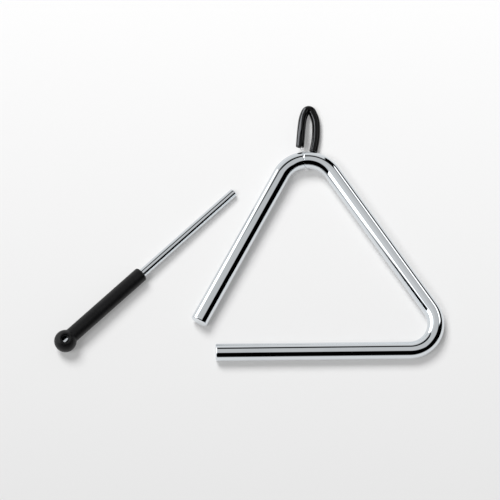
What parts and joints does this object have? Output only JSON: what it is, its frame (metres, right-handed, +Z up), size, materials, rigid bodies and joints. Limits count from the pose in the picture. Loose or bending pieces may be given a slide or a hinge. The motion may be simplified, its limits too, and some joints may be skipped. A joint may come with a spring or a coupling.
{
  "type": "triangle instrument",
  "caption": "Percussion triangle bent from round chromed bar and open at one corner, hung from a sleeved line loop, with a gripped steel beater lying beside it",
  "frame": {"origin": "on the table below the middle of the bar and the beater together, without the holder loop", "axes": "+X along the base leg from the open corner to the closed corner, +Y from the base leg to the apex, +Z up"},
  "size_m": [0.228, 0.1585, 0.0126],
  "materials": {
    "chromed_steel": "polished chrome plate on round steel",
    "black_vinyl": "glossy soft vinyl tube",
    "clear_nylon": "clear monofilament",
    "black_grip": "satin moulded"
  },
  "bodies": {
    "triangle": {"triangle_bar": "chromed_steel"},
    "holder": {"holder_sleeve": "black_vinyl", "holder_line": "clear_nylon"},
    "beater": {"beater_rod": "chromed_steel", "beater_grip": "black_grip"}
  },
  "joints": [
    {"name": "holder_swing", "type": "hinge", "parent": "triangle", "child": "holder", "pos_m": [0.03678, 0.05885, 0.00635], "axis": [1, 0, 0], "range_deg": [-110, 150]},
    {"name": "beater_lift", "type": "slide", "parent": "triangle", "child": "beater", "axis": [0, 0, 1], "range_m": [0, 0.12]}
  ]
}
